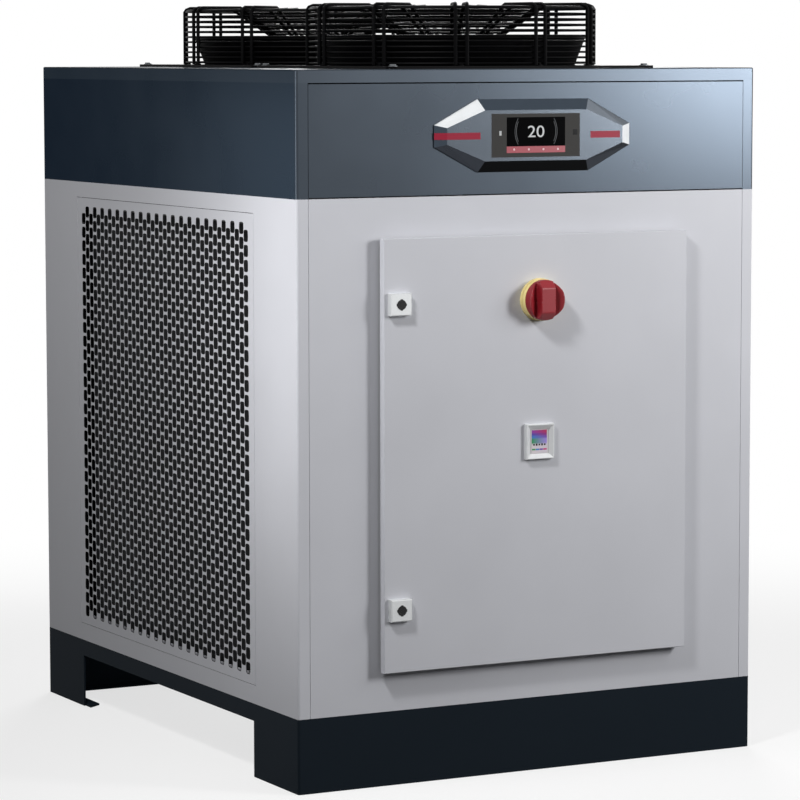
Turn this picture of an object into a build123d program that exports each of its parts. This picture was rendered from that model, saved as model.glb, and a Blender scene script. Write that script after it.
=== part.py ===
"""Air-cooled water chiller: a sheet-metal cabinet on a fork-lift plinth.

Origin on the floor under the middle of the machine. +Z is up, the electrical door and the display
face -Y, and +X is to the right of someone who looks at the display. All sizes are in millimetres.
"""

import os
from math import cos, radians, sin

from build123d import *

# Cabinet, outside sizes
width = 815.0
depth = 1000.0
lid_top = 1100.0
plinth_height = 116.0
band_height = 174.0
lid_height = 20.0
sheet = 1.5
corner_radius = 4.0
seam_gap = 0.8

# Plinth
plinth_sheet = 3.0
plinth_flange = 26.0
leg_length = 158.0
rail_height = 27.5
foot_reach = 22.0
pan_sheet = 2.0

# Panels
corner_return = 20.0
panel_edge = 15.0
band_groove = 2.0

# Air intake grilles and the condenser coils behind them
grille_margin = 150.0
grille_bottom = 145.0
grille_height = 735.0
grille_border = 25.0
grille_rebate = 12.0
grille_lip = 14.0
grille_columns = 20
grille_rows = 2
slot_width = 13.0
slot_bridge = 12.0
coil_thickness = 44.0
coil_gap = 6.0
coil_frame = 20.0
fin_recess = 6.0

# Electrical enclosure and its door
door_width = 540.0
door_height = 666.0
door_bottom = 178.5
door_depth = 13.0
door_gap = 7.0
door_overlap = 8.0
enclosure_depth = 170.0
enclosure_margin = 30.0
mounting_sheet = 2.5
standoff_length = 12.0
standoff_radius = 7.0
standoff_inset = 30.0
hinge_inset = 5.0
hinge_pin_radius = 2.5
hinge_height = 36.0
hinge_from_end = 92.0
hinge_arm = 5.0
hinge_ear = 8.0
ear_gap = 0.5
hinge_clearance = 2.0
pin_clearance = 0.05

# Locks on the door
lock_inset = 24.6
lock_heights = (276.0, 744.5)
lock_block = (36.0, 34.0, 11.0)
lock_chamfer = 1.5
lock_barrel_radius = 10.0
lock_shaft_radius = 7.0
key_bit = (3.0, 6.0, 9.0)
cam_length = 32.0
cam_width = 15.0
cam_thickness = 3.0
cam_setback = 12.0

# Main switch and service interface on the door
switch_height = 744.0
plate_radius = 33.0
plate_thickness = 6.0
knob_radius = 31.5
knob_base = 12.0
knob_chamfer = 4.0
knob_height = 31.6
grip_width = 24.0
grip_taper = 6.0
knob_gap = 0.4
handle_tail_radius = 8.0
handle_tail = 3.0
switch_shaft_radius = 4.0
switch_body = (70.0, 60.0, 78.0)
switch_chamfer = 3.0
coupling_gap = 6.0
interface_height = 523.0
interface_size = (56.0, 64.0)
interface_bevel = 12.0
interface_slope = 4.0
interface_lip = 6.0
interface_taper = 25.0
interface_depth = 8.0
interface_floor = 2.0
insert_thickness = 1.0

# Display housing on the band
display_height = 997.5
housing_half_width = 174.0
housing_half_flat = 98.5
housing_half_height = 56.0
housing_half_tip = 17.0
housing_depth = 11.0
housing_bevel = 17.0
bezel_size = (157.0, 67.0)
bezel_recess = 4.0
screen_size = (104.0, 50.0)
screen_rise = 3.0
screen_recess = 2.0
stripe_length = 56.0
stripe_height = 10.0
stripe_recess = 2.0
stripe_middle = 128.0

# Fans
fan_plate = 476.0
fan_pitch = 478.0
fan_plate_thickness = 4.0
throat_radius = 195.0
nozzle_wall = 2.5
inlet_radius = 205.0
diffuser_radius = 211.0
inlet_depth = 35.0
diffuser_height = 46.0
lid_hole_clearance = 3.0
tip_clearance = 5.0
hub_radius = 66.0
hub_height = 58.0
blades = 5
blade_chords = (84.0, 108.0, 126.0)
blade_pitches = (46.0, 36.0, 28.0)
blade_sweeps = (0.0, 20.0, 52.0)
blade_overrun = 6.0
blade_thickness = 5.0
blade_camber = 9.0
blade_rise = 12.0
guard_radius = 236.0
guard_height = 103.0
guard_wire = 3.0
guard_ribs = 11
guard_turn = -114.95
guard_side_rings = 1
guard_top_rings = 2
guard_dish_rings = 1
guard_flange = 8.0
guard_corner = 9.0
dish_rim_radius = 150.0
dish_floor_radius = 58.0
dish_floor_height = 34.0
motor_radius = 50.0
motor_height = 14.0
motor_shaft_radius = 8.0

# Services on the rear panel
pipe_radius = 25.0
pipe_bore_radius = 19.5
pipe_reach = 58.0
pipe_inside = 40.0
pipe_nut_radius = 36.0
pipe_nut = 8.0
pipe_height = 250.0
pipe_spacing = 240.0
gland_radius = 20.0
gland_bore_radius = 12.5
gland_reach = 34.0
gland_nut = 8.0
gland_nut_radius = 25.0
gland_place = (250.0, 700.0)

# Places that follow from the sizes above
front = -depth / 2
back = depth / 2
band_bottom = lid_top - lid_height - band_height
lid_bottom = lid_top - lid_height
grille_length = depth - 2 * grille_margin
grille_middle = grille_bottom + grille_height / 2
pan_floor = plinth_height + pan_sheet
door_middle = door_bottom + door_height / 2
door_back = front - door_gap
door_face = door_back - door_depth
opening_width = door_width - 2 * door_overlap
opening_height = door_height - 2 * door_overlap
hinge_x = door_width / 2 - hinge_inset
hinge_y = door_face + hinge_inset
hinge_heights = (door_bottom + hinge_from_end, door_bottom + door_height - hinge_from_end)
impeller_radius = throat_radius - tip_clearance
fan_places = {"front": -fan_pitch / 2, "rear": fan_pitch / 2}
sides = {"left": -1, "right": 1}

os.makedirs("parts", exist_ok=True)


def plinth_end(toward):
    """A folded channel across one end of the machine, with a leg along each side."""
    inner = toward * (depth / 2 - leg_length)
    with BuildPart() as end:
        with BuildSketch() as outline:
            with Locations((0, toward * (depth - leg_length) / 2)):
                Rectangle(width, leg_length)
            corners = outline.vertices().filter_by(lambda v: abs(v.Y) > depth / 2 - 1)
            fillet(corners, corner_radius)
        extrude(amount=plinth_height)
        with BuildSketch(Plane.XY.offset(plinth_sheet)):
            with Locations((0, toward * (depth / 2 - plinth_sheet) - toward * leg_length / 2)):
                Rectangle(width - 2 * plinth_sheet, leg_length)
        extrude(amount=plinth_height - 2 * plinth_sheet, mode=Mode.SUBTRACT)
        with BuildSketch():
            with Locations((0, toward * (depth / 2 - plinth_flange) - toward * leg_length / 2)):
                Rectangle(width - 2 * plinth_flange, leg_length)
        extrude(amount=plinth_height, mode=Mode.SUBTRACT)
        if toward > 0:
            with BuildSketch():
                for side in sides.values():
                    foot_x = side * (width / 2 - plinth_sheet)
                    with BuildLine():
                        Polyline(
                            (foot_x, inner),
                            (foot_x, inner - foot_reach),
                            (side * (width / 2 - plinth_flange), inner - foot_reach / 4),
                            (side * (width / 2 - plinth_flange), inner),
                            close=True,
                        )
                    make_face()
            extrude(amount=plinth_sheet)
    return end.part


for name, toward in (("plinth_front", -1), ("plinth_rear", 1)):
    plinth = plinth_end(toward)
    plinth.label = name
    export_step(plinth, f"parts/{name}.step")

# Side rails between the legs: the fork-lift way runs under them
for name, side in sides.items():
    rail_length = depth - 2 * leg_length
    rail_middle = plinth_height - rail_height / 2
    with BuildPart() as rail:
        with Locations((side * (width - plinth_flange) / 2, 0, rail_middle)):
            Box(plinth_flange, rail_length, rail_height)
        with Locations((side * (width - plinth_flange - 2 * plinth_sheet) / 2, 0, rail_middle)):
            Box(plinth_flange, rail_length, rail_height - 2 * plinth_sheet, mode=Mode.SUBTRACT)
    rail.part.label = f"plinth_rail_{name}"
    export_step(rail.part, f"parts/plinth_rail_{name}.step")

# Floor pan that closes the cabinet from below and carries the coils
with BuildPart() as base_pan:
    pan_width = width - 2 * sheet - 2 * seam_gap
    pan_depth = depth - 2 * panel_edge - 2 * seam_gap
    with BuildSketch(Plane.XY.offset(plinth_height)):
        Rectangle(pan_width, pan_depth)
    extrude(amount=pan_floor - plinth_height)
base_pan.part.label = "base_pan"
export_step(base_pan.part, "parts/base_pan.step")


def wrapped_panel(side, low, high, top_flange):
    """A side skin whose front and rear edges are folded round the cabinet corners."""
    with BuildPart() as panel:
        with BuildSketch(Plane.XY.offset(low)) as section:
            with Locations((side * (width - corner_return) / 2, 0)):
                Rectangle(corner_return, depth)
            outer = section.vertices().filter_by(lambda v: abs(v.X) > width / 2 - 1)
            fillet(outer, corner_radius)
            with BuildSketch(mode=Mode.PRIVATE) as inside:
                with Locations((side * (width / 2 - sheet - corner_return / 2), 0)):
                    Rectangle(corner_return, depth - 2 * sheet)
                inner = inside.vertices().filter_by(lambda v: abs(v.X) > width / 2 - sheet - 1)
                fillet(inner, corner_radius - sheet)
            add(inside.sketch, mode=Mode.SUBTRACT)
        extrude(amount=high - low)
        if top_flange:
            with Locations((side * (width / 2 - panel_edge / 2 - sheet / 2), 0, high - sheet / 2)):
                Box(panel_edge, depth - 2 * corner_radius, sheet)
    return panel.part


# Lower side skins, with a rebated window for the intake grille
for name, side in sides.items():
    with BuildPart() as side_panel:
        add(wrapped_panel(side, plinth_height, band_bottom, False))
        wall_x = side * (width / 2 - grille_rebate / 2 - sheet / 2)
        with Locations((wall_x, 0, grille_middle)):
            Box(grille_rebate + sheet, grille_length + 2 * sheet, grille_height + 2 * sheet)
        with Locations((side * width / 2, 0, grille_middle)):
            Box(2 * grille_rebate, grille_length, grille_height, mode=Mode.SUBTRACT)
            Box(
                2 * (grille_rebate + 2 * sheet),
                grille_length - 2 * grille_lip,
                grille_height - 2 * grille_lip,
                mode=Mode.SUBTRACT,
            )
    side_panel.part.label = f"side_panel_{name}"
    export_step(side_panel.part, f"parts/side_panel_{name}.step")

# Intake grilles: shallow pans dropped into the rebated windows, slotted in staggered columns
for name, side in sides.items():
    pan_length = grille_length - 2 * seam_gap
    pan_height = grille_height - 2 * seam_gap
    field_length = grille_length - 2 * grille_border
    field_height = grille_height - 2 * grille_border
    column_pitch = field_length / grille_columns
    row_pitch = field_height / (grille_rows + 0.5)
    with BuildPart() as grille:
        with Locations((side * (width / 2 - grille_rebate / 2), 0, grille_middle)):
            Box(grille_rebate, pan_length, pan_height)
        with Locations((side * (width / 2 - grille_rebate / 2 - sheet), 0, grille_middle)):
            Box(grille_rebate, pan_length - 2 * sheet, pan_height - 2 * sheet, mode=Mode.SUBTRACT)
        slot_places = []
        for column in range(grille_columns):
            slot_y = -field_length / 2 + (column + 0.5) * column_pitch
            for row in range(grille_rows):
                shift = 0.5 if column % 2 else 0.0
                slot_z = grille_middle - field_height / 2 + (row + 0.5 + shift) * row_pitch
                slot_places.append((side * width / 2, slot_y, slot_z))
        with Locations(*slot_places):
            Box(4 * sheet, slot_width, row_pitch - slot_bridge, mode=Mode.SUBTRACT)
    grille.part.label = f"grille_{name}"
    export_step(grille.part, f"parts/grille_{name}.step")

# Condenser coils: finned blocks that stand on the floor pan behind the grilles
for name, side in sides.items():
    coil_x = side * (width / 2 - grille_rebate - 2 * sheet - coil_gap - coil_thickness / 2)
    coil_top = grille_bottom + grille_height
    with BuildPart() as coil:
        with Locations((coil_x, 0, (pan_floor + coil_top) / 2)):
            Box(coil_thickness, grille_length, coil_top - pan_floor)
        with Locations((coil_x + side * coil_thickness / 2, 0, (pan_floor + coil_top) / 2)):
            Box(
                2 * fin_recess,
                grille_length - 2 * coil_frame,
                coil_top - pan_floor - 2 * coil_frame,
                mode=Mode.SUBTRACT,
            )
    coil.part.label = f"condenser_{name}"
    export_step(coil.part, f"parts/condenser_{name}.step")


def end_panel(toward, low, high):
    """A flat pan with folded edges that fills one end of the cabinet between the side skins."""
    pan_length = width - 2 * corner_return - 2 * seam_gap
    with BuildPart() as panel:
        with Locations((0, toward * (depth - panel_edge) / 2, (low + high) / 2)):
            Box(pan_length, panel_edge, high - low)
        with Locations((0, toward * (depth - panel_edge) / 2 - toward * sheet, (low + high) / 2)):
            Box(pan_length - 2 * sheet, panel_edge, high - low - 2 * sheet, mode=Mode.SUBTRACT)
    return panel.part


# Front panel, cut away behind the electrical door
with BuildPart() as front_panel:
    add(end_panel(-1, plinth_height, band_bottom))
    with Locations((0, front, door_middle)):
        Box(opening_width, 4 * sheet, opening_height, mode=Mode.SUBTRACT)
front_panel.part.label = "front_panel"
export_step(front_panel.part, "parts/front_panel.step")

# Rear panel, with holes for the two water connections and the cable gland
with BuildPart() as rear_panel:
    add(end_panel(1, plinth_height, band_bottom))
    with BuildSketch(Plane.XZ.offset(-back - sheet)):
        with Locations((-pipe_spacing / 2, pipe_height), (pipe_spacing / 2, pipe_height)):
            Circle(pipe_radius + seam_gap)
        with Locations(gland_place):
            Circle(gland_radius + seam_gap)
    extrude(amount=4 * sheet, mode=Mode.SUBTRACT)
rear_panel.part.label = "rear_panel"
export_step(rear_panel.part, "parts/rear_panel.step")

# Dark band round the top: two wrapped side skins and a pan at each end
for name, side in sides.items():
    band = wrapped_panel(side, band_bottom, lid_bottom, True)
    band.label = f"band_{name}"
    export_step(band, f"parts/band_{name}.step")

for name, toward in (("band_front", -1), ("band_rear", 1)):
    band = end_panel(toward, band_bottom + band_groove, lid_bottom - band_groove)
    band.label = name
    export_step(band, f"parts/{name}.step")

# Lid: a shallow cover with folded edges and a round hole over each fan
with BuildPart() as lid:
    with BuildSketch(Plane.XY.offset(lid_bottom)) as lid_outline:
        Rectangle(width, depth)
        fillet(lid_outline.vertices(), corner_radius)
    extrude(amount=lid_height)
    chamfer(lid.faces().sort_by(Axis.Z)[-1].edges(), sheet)
    with BuildSketch(Plane.XY.offset(lid_bottom)) as lid_inside:
        Rectangle(width - 2 * sheet, depth - 2 * sheet)
        fillet(lid_inside.vertices(), corner_radius - sheet)
    extrude(amount=lid_height - sheet, mode=Mode.SUBTRACT)
    with BuildSketch(Plane.XY.offset(lid_bottom)):
        with Locations(*[(0, fan_y) for fan_y in fan_places.values()]):
            Circle(inlet_radius + nozzle_wall + lid_hole_clearance)
    extrude(amount=2 * lid_height, mode=Mode.SUBTRACT)
lid.part.label = "lid"
export_step(lid.part, "parts/lid.step")

# Fan nozzles: a square plate pressed into a bellmouth below and a flared diffuser above
plate_top = lid_top + fan_plate_thickness
for name, fan_y in fan_places.items():
    fan_axis = Axis((0, fan_y, 0), (0, 0, 1))
    with BuildPart() as nozzle:
        with BuildSketch(Plane.XY.offset(lid_top)) as plate_outline:
            with Locations((0, fan_y)):
                Rectangle(fan_plate, fan_plate)
            fillet(plate_outline.vertices(), 3 * corner_radius)
            with Locations((0, fan_y)):
                Circle(throat_radius + nozzle_wall / 2, mode=Mode.SUBTRACT)
        extrude(amount=fan_plate_thickness)
        with BuildSketch(Plane((0, fan_y, 0), x_dir=(1, 0, 0), z_dir=(0, -1, 0))):
            with BuildLine():
                Polyline(
                    (inlet_radius, lid_top - inlet_depth),
                    (throat_radius, lid_top - inlet_depth / 2),
                    (throat_radius, plate_top),
                    (diffuser_radius, lid_top + diffuser_height),
                    (diffuser_radius + nozzle_wall, lid_top + diffuser_height),
                    (throat_radius + nozzle_wall, plate_top),
                    (throat_radius + nozzle_wall, lid_top - inlet_depth / 2),
                    (inlet_radius + nozzle_wall, lid_top - inlet_depth),
                    close=True,
                )
            make_face()
        revolve(axis=fan_axis)
    nozzle.part.label = f"nozzle_{name}"
    export_step(nozzle.part, f"parts/nozzle_{name}.step")

# Fan guards: wire baskets whose ribs dip in the middle to a plate that carries the motor
guard_top = lid_top + guard_height
dish_floor = lid_top + dish_floor_height
half_wire = guard_wire / 2
wire_mitre = guard_wire / 3
with BuildPart() as guard_rib:
    with BuildSketch(Plane.XZ):
        with BuildLine():
            Polyline(
                (guard_radius, plate_top),
                (guard_radius, guard_top - guard_corner),
                (guard_radius - guard_corner, guard_top),
                (dish_rim_radius, guard_top),
                (dish_floor_radius, dish_floor + guard_wire),
                (dish_floor_radius - guard_corner, dish_floor + guard_wire),
                (dish_floor_radius - guard_corner, dish_floor),
                (dish_floor_radius + wire_mitre, dish_floor),
                (dish_rim_radius + wire_mitre, guard_top - guard_wire),
                (guard_radius - guard_corner - wire_mitre, guard_top - guard_wire),
                (guard_radius - guard_wire, guard_top - guard_corner - wire_mitre),
                (guard_radius - guard_wire, plate_top),
                close=True,
            )
        make_face()
    extrude(amount=half_wire, both=True)

side_step = (guard_top - guard_corner - plate_top) / (guard_side_rings + 1)
dish_drop = guard_top - guard_wire - dish_floor
ring_places = [(guard_radius, plate_top, guard_flange)]
for ring in range(guard_side_rings):
    ring_places.append((guard_radius, plate_top + (ring + 1) * side_step, guard_wire))
for ring in range(guard_top_rings):
    step_in = (guard_radius - guard_corner - dish_rim_radius) / guard_top_rings
    ring_places.append((guard_radius - guard_corner - ring * step_in, guard_top - guard_wire, guard_wire))
for ring in range(guard_dish_rings):
    share = (ring + 0.5) / guard_dish_rings
    dish_radius = dish_rim_radius - share * (dish_rim_radius - dish_floor_radius)
    ring_places.append((dish_radius + half_wire, guard_top - guard_wire - share * dish_drop, guard_wire))

with BuildPart() as guard:
    with PolarLocations(0, guard_ribs, start_angle=guard_turn):
        add(guard_rib.part)
    for ring_radius, ring_bottom, ring_width in ring_places:
        with BuildSketch(Plane.XY.offset(ring_bottom)):
            RegularPolygon(ring_radius, 2 * guard_ribs, rotation=guard_turn)
            RegularPolygon(ring_radius - ring_width, 2 * guard_ribs, rotation=guard_turn, mode=Mode.SUBTRACT)
        extrude(amount=guard_wire)
    with BuildSketch(Plane.XY.offset(dish_floor)):
        RegularPolygon(dish_floor_radius, 2 * guard_ribs, rotation=guard_turn)
    extrude(amount=guard_wire)

for name, fan_y in fan_places.items():
    with BuildPart() as placed_guard:
        with Locations((0, fan_y, 0)):
            add(guard.part)
    placed_guard.part.label = f"guard_{name}"
    export_step(placed_guard.part, f"parts/guard_{name}.step")

# Fan motors: a stator disc under the dish plate, and the fixed shaft that the rotor turns on
motor_bottom = dish_floor - motor_height
hub_top = motor_bottom - tip_clearance
hub_bottom = hub_top - hub_height
for name, fan_y in fan_places.items():
    with BuildPart() as motor:
        with BuildSketch(Plane.XY.offset(motor_bottom)):
            with Locations((0, fan_y)):
                Circle(motor_radius)
        extrude(amount=motor_height)
        with BuildSketch(Plane.XY.offset(hub_bottom)):
            with Locations((0, fan_y)):
                Circle(motor_shaft_radius)
        extrude(amount=motor_bottom - hub_bottom)
    motor.part.label = f"motor_{name}"
    export_step(motor.part, f"parts/motor_{name}.step")

# Impellers: a bored hub and swept, twisted blades trimmed to the throat
blade_radii = (
    hub_radius - blade_overrun,
    (hub_radius + impeller_radius) / 2,
    impeller_radius + blade_overrun,
)
with BuildPart() as blade:
    for station_radius, chord, pitch, sweep in zip(blade_radii, blade_chords, blade_pitches, blade_sweeps):
        station = Plane(
            origin=(station_radius, sweep, (hub_top + hub_bottom) / 2 + blade_rise),
            x_dir=(0, cos(radians(pitch)), sin(radians(pitch))),
            z_dir=(1, 0, 0),
        )
        with BuildSketch(station):
            with BuildLine():
                Polyline(
                    (-chord / 2, 0),
                    (0, blade_camber - blade_thickness / 2),
                    (chord / 2, 0),
                    (0, blade_camber + blade_thickness / 2),
                    close=True,
                )
            make_face()
    loft(ruled=True)

with BuildPart() as impeller:
    with PolarLocations(0, blades):
        add(blade.part)
    with BuildSketch(Plane.XY.offset(hub_bottom - hub_height)):
        Circle(impeller_radius)
    extrude(amount=4 * hub_height, mode=Mode.INTERSECT)
    with BuildSketch(Plane.XY.offset(hub_bottom)):
        Circle(hub_radius)
    extrude(amount=hub_height)
    with BuildSketch(Plane.XY.offset(hub_bottom)):
        Circle(motor_shaft_radius + pin_clearance)
    extrude(amount=hub_height, mode=Mode.SUBTRACT)

for name, fan_y in fan_places.items():
    with BuildPart() as placed_impeller:
        with Locations((0, fan_y, 0)):
            add(impeller.part)
    placed_impeller.part.label = f"impeller_{name}"
    export_step(placed_impeller.part, f"parts/impeller_{name}.step")

# Display housing on the band: an eight-sided bevelled frame that runs out into a bar at each side
face_half_height = housing_half_height - housing_bevel
face_half_flat = housing_half_flat - housing_bevel / 2
face_half_tip = housing_half_tip - housing_bevel / 4
housing_front = front - housing_depth


def eight_corners(half_length, half_flat, half_height, half_tip):
    """The corners of the display housing, about its own middle."""
    return [
        (-half_length, half_tip),
        (-half_flat, half_height),
        (half_flat, half_height),
        (half_length, half_tip),
        (half_length, -half_tip),
        (half_flat, -half_height),
        (-half_flat, -half_height),
        (-half_length, -half_tip),
    ]


housing_foot = eight_corners(
    housing_half_width, housing_half_flat, housing_half_height, housing_half_tip
)
housing_face = eight_corners(
    housing_half_width - housing_bevel / 4, face_half_flat, face_half_height, face_half_tip
)
with BuildPart() as control_housing:
    with BuildSketch(Plane((0, front, display_height), x_dir=(1, 0, 0), z_dir=(0, -1, 0))):
        with BuildLine():
            Polyline(*housing_foot, close=True)
        make_face()
    with BuildSketch(Plane((0, housing_front, display_height), x_dir=(1, 0, 0), z_dir=(0, -1, 0))):
        with BuildLine():
            Polyline(*housing_face, close=True)
        make_face()
    loft()
    with Locations((0, housing_front, display_height)):
        Box(bezel_size[0], 2 * bezel_recess, bezel_size[1], mode=Mode.SUBTRACT)
    for side in sides.values():
        with Locations((side * stripe_middle, housing_front, display_height)):
            Box(stripe_length, 2 * stripe_recess, stripe_height, mode=Mode.SUBTRACT)
control_housing.part.label = "control_housing"
export_step(control_housing.part, "parts/control_housing.step")

# Display unit: a dark frame let into the housing, with the glass and a key strip under it
with BuildPart() as display_bezel:
    with Locations((0, housing_front + bezel_recess / 2, display_height)):
        Box(bezel_size[0], bezel_recess, bezel_size[1])
    with Locations((0, housing_front, display_height + screen_rise)):
        Box(screen_size[0], 2 * screen_recess, screen_size[1], mode=Mode.SUBTRACT)
display_bezel.part.label = "display_bezel"
export_step(display_bezel.part, "parts/display_bezel.step")

with BuildPart() as display_screen:
    with Locations((0, housing_front + screen_recess / 2, display_height + screen_rise)):
        Box(screen_size[0], screen_recess, screen_size[1])
display_screen.part.label = "display_screen"
export_step(display_screen.part, "parts/display_screen.step")

# Red stripes let into the two side bars of the housing
with BuildPart() as accent_stripes:
    for side in sides.values():
        with Locations((side * stripe_middle, housing_front + stripe_recess / 2, display_height)):
            Box(stripe_length, stripe_recess, stripe_height)
accent_stripes.part.label = "accent_stripes"
export_step(accent_stripes.part, "parts/accent_stripes.step")

# Electrical enclosure: a box behind the front panel, open towards the door
enclosure_width = opening_width + 2 * enclosure_margin
enclosure_height = opening_height + 2 * enclosure_margin
enclosure_mouth = front + sheet
enclosure_back = enclosure_mouth + enclosure_depth
with BuildPart() as enclosure:
    with Locations((0, (enclosure_mouth + enclosure_back) / 2, door_middle)):
        Box(enclosure_width, enclosure_depth, enclosure_height)
    with Locations((0, (enclosure_mouth + enclosure_back) / 2 - sheet, door_middle)):
        Box(
            enclosure_width - 2 * sheet,
            enclosure_depth,
            enclosure_height - 2 * sheet,
            mode=Mode.SUBTRACT,
        )
enclosure.part.label = "enclosure"
export_step(enclosure.part, "parts/enclosure.step")

# Mounting plate on stand-offs at the back of the enclosure
plate_back = enclosure_back - sheet - standoff_length
with BuildPart() as mounting_plate:
    with Locations((0, plate_back - mounting_sheet / 2, door_middle)):
        Box(opening_width, mounting_sheet, opening_height)
    with BuildSketch(Plane.XZ.offset(-plate_back)):
        with Locations((0, door_middle)):
            with GridLocations(opening_width - 2 * standoff_inset, opening_height - 2 * standoff_inset, 2, 2):
                RegularPolygon(standoff_radius, 6)
    extrude(amount=-standoff_length)
mounting_plate.part.label = "mounting_plate"
export_step(mounting_plate.part, "parts/mounting_plate.step")

# Main switch on the mounting plate, with the shaft that reaches out to the handle on the door
coupling_end = door_face + door_depth / 2 + handle_tail
shaft_end = coupling_end + coupling_gap
plate_front = plate_back - mounting_sheet
with BuildPart() as main_switch:
    with Locations((0, plate_front - switch_body[1] / 2, switch_height)):
        Box(*switch_body)
    chamfer(main_switch.faces().sort_by(Axis.Y)[0].edges(), switch_chamfer)
    with Locations((0, (plate_front + shaft_end) / 2, switch_height)):
        Cylinder(switch_shaft_radius, plate_front - shaft_end, rotation=(90, 0, 0))
main_switch.part.label = "main_switch"
export_step(main_switch.part, "parts/main_switch.step")

# Cabinet half of the door hinges: an arm hooked round the edge of the opening, with an upright pin
arm_x = opening_width / 2 - hinge_arm * 1.5
with BuildPart() as hinge_brackets:
    for hinge_z in hinge_heights:
        foot_back = enclosure_mouth + hinge_arm
        arm_front = hinge_y - hinge_pin_radius
        with BuildSketch(Plane.XY.offset(hinge_z - hinge_height / 4)):
            with BuildLine():
                Polyline(
                    (arm_x - hinge_arm, foot_back),
                    (arm_x - hinge_arm, arm_front),
                    (hinge_x, arm_front),
                    (hinge_x, arm_front + 2 * hinge_pin_radius),
                    (arm_x, arm_front + 2 * hinge_pin_radius),
                    (arm_x, enclosure_mouth),
                    (enclosure_width / 2 - sheet, enclosure_mouth),
                    (enclosure_width / 2 - sheet, foot_back),
                    close=True,
                )
            make_face()
            with Locations((hinge_x, hinge_y)):
                Circle(hinge_pin_radius)
        extrude(amount=hinge_height / 2)
        with BuildSketch(Plane.XY.offset(hinge_z - hinge_height / 2)):
            with Locations((hinge_x, hinge_y)):
                Circle(hinge_pin_radius)
        extrude(amount=hinge_height)
hinge_brackets.part.label = "hinge_brackets"
export_step(hinge_brackets.part, "parts/hinge_brackets.step")

# Door half of the hinges: bored ears above and below each arm
ear_length = hinge_height / 4 - ear_gap
with BuildPart() as hinge_ears:
    for hinge_z in hinge_heights:
        for toward in (-1, 1):
            ear_z = hinge_z + toward * (hinge_height / 4 + ear_gap + ear_length / 2)
            with BuildSketch(Plane.XY.offset(ear_z - ear_length / 2)):
                with Locations((door_width / 2 - sheet - hinge_ear / 2, door_face + sheet + hinge_ear / 2)):
                    Rectangle(hinge_ear, hinge_ear)
                with Locations((hinge_x, hinge_y)):
                    Circle(hinge_pin_radius + pin_clearance, mode=Mode.SUBTRACT)
            extrude(amount=ear_length)
hinge_ears.part.label = "hinge_ears"
export_step(hinge_ears.part, "parts/hinge_ears.step")

# Door: a shallow pan, notched at its hinge edge, bored for the locks and the switch handle
lock_x = -door_width / 2 + lock_inset
with BuildPart() as door:
    with Locations((0, (door_face + door_back) / 2, door_middle)):
        Box(door_width, door_depth, door_height)
    chamfer(door.faces().sort_by(Axis.Y)[0].edges(), sheet / 2)
    with Locations((0, (door_face + door_back) / 2 + sheet, door_middle)):
        Box(door_width - 2 * sheet, door_depth, door_height - 2 * sheet, mode=Mode.SUBTRACT)
    notch_height = hinge_height / 2 + 2 * hinge_clearance
    for hinge_z in hinge_heights:
        with Locations((door_width / 2, door_back, hinge_z)):
            Box(4 * sheet, 2 * (door_depth - 2 * sheet), notch_height, mode=Mode.SUBTRACT)
    with BuildSketch(Plane.XZ.offset(-door_face - 2 * sheet)):
        with Locations(*[(lock_x, lock_z) for lock_z in lock_heights]):
            Circle(lock_barrel_radius)
        with Locations((0, switch_height)):
            Circle(handle_tail_radius + seam_gap)
    extrude(amount=4 * sheet, mode=Mode.SUBTRACT)
door.part.label = "door"
export_step(door.part, "parts/door.step")

# Lock housings: a square block on the door with a barrel through it
barrel_end = door_face + door_depth
block_x, block_z, block_depth = lock_block
with BuildPart() as lock_housings:
    for lock_z in lock_heights:
        with Locations((lock_x, door_face - block_depth / 2, lock_z)):
            Box(block_x, block_depth, block_z)
        with Locations((lock_x, (door_face + barrel_end) / 2, lock_z)):
            Cylinder(lock_barrel_radius, barrel_end - door_face, rotation=(90, 0, 0))
    block_edges = lock_housings.faces().group_by(Axis.Y)[0].edges()
    chamfer(block_edges, lock_chamfer)
    with BuildSketch(Plane.XZ.offset(-barrel_end)):
        with Locations(*[(lock_x, lock_z) for lock_z in lock_heights]):
            Circle(lock_shaft_radius + pin_clearance)
    extrude(amount=barrel_end - door_face + block_depth, mode=Mode.SUBTRACT)
lock_housings.part.label = "lock_housings"
export_step(lock_housings.part, "parts/lock_housings.step")

# Turning parts of the locks: a keyed spindle with a cam that swings behind the front panel
cam_front = enclosure_mouth + cam_setback
for name, lock_z in zip(("lower", "upper"), lock_heights):
    with BuildPart() as lock_cam:
        spindle_end = door_face - block_depth
        with Locations((lock_x, (spindle_end + cam_front) / 2, lock_z)):
            Cylinder(lock_shaft_radius, cam_front - spindle_end, rotation=(90, 0, 0))
        with Locations((lock_x, spindle_end, lock_z)):
            Box(*key_bit, mode=Mode.SUBTRACT)
        with BuildSketch(Plane.XZ.offset(-cam_front - cam_thickness)):
            with Locations((lock_x, lock_z)):
                Circle(cam_width / 2)
            with Locations((lock_x, lock_z + cam_length / 2)):
                Rectangle(cam_width, cam_length)
        extrude(amount=cam_thickness)
    lock_cam.part.label = f"lock_cam_{name}"
    export_step(lock_cam.part, f"parts/lock_cam_{name}.step")

# Main switch handle: a yellow plate on the door and a red knob with a grip bar
with BuildPart() as handle_plate:
    with Locations((0, door_face - plate_thickness / 2, switch_height)):
        Cylinder(plate_radius, plate_thickness, rotation=(90, 0, 0))
    with Locations((0, door_face, switch_height)):
        bore_radius = handle_tail_radius + pin_clearance
        Cylinder(bore_radius, 4 * plate_thickness, rotation=(90, 0, 0), mode=Mode.SUBTRACT)
handle_plate.part.label = "handle_plate"
export_step(handle_plate.part, "parts/handle_plate.step")

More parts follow.
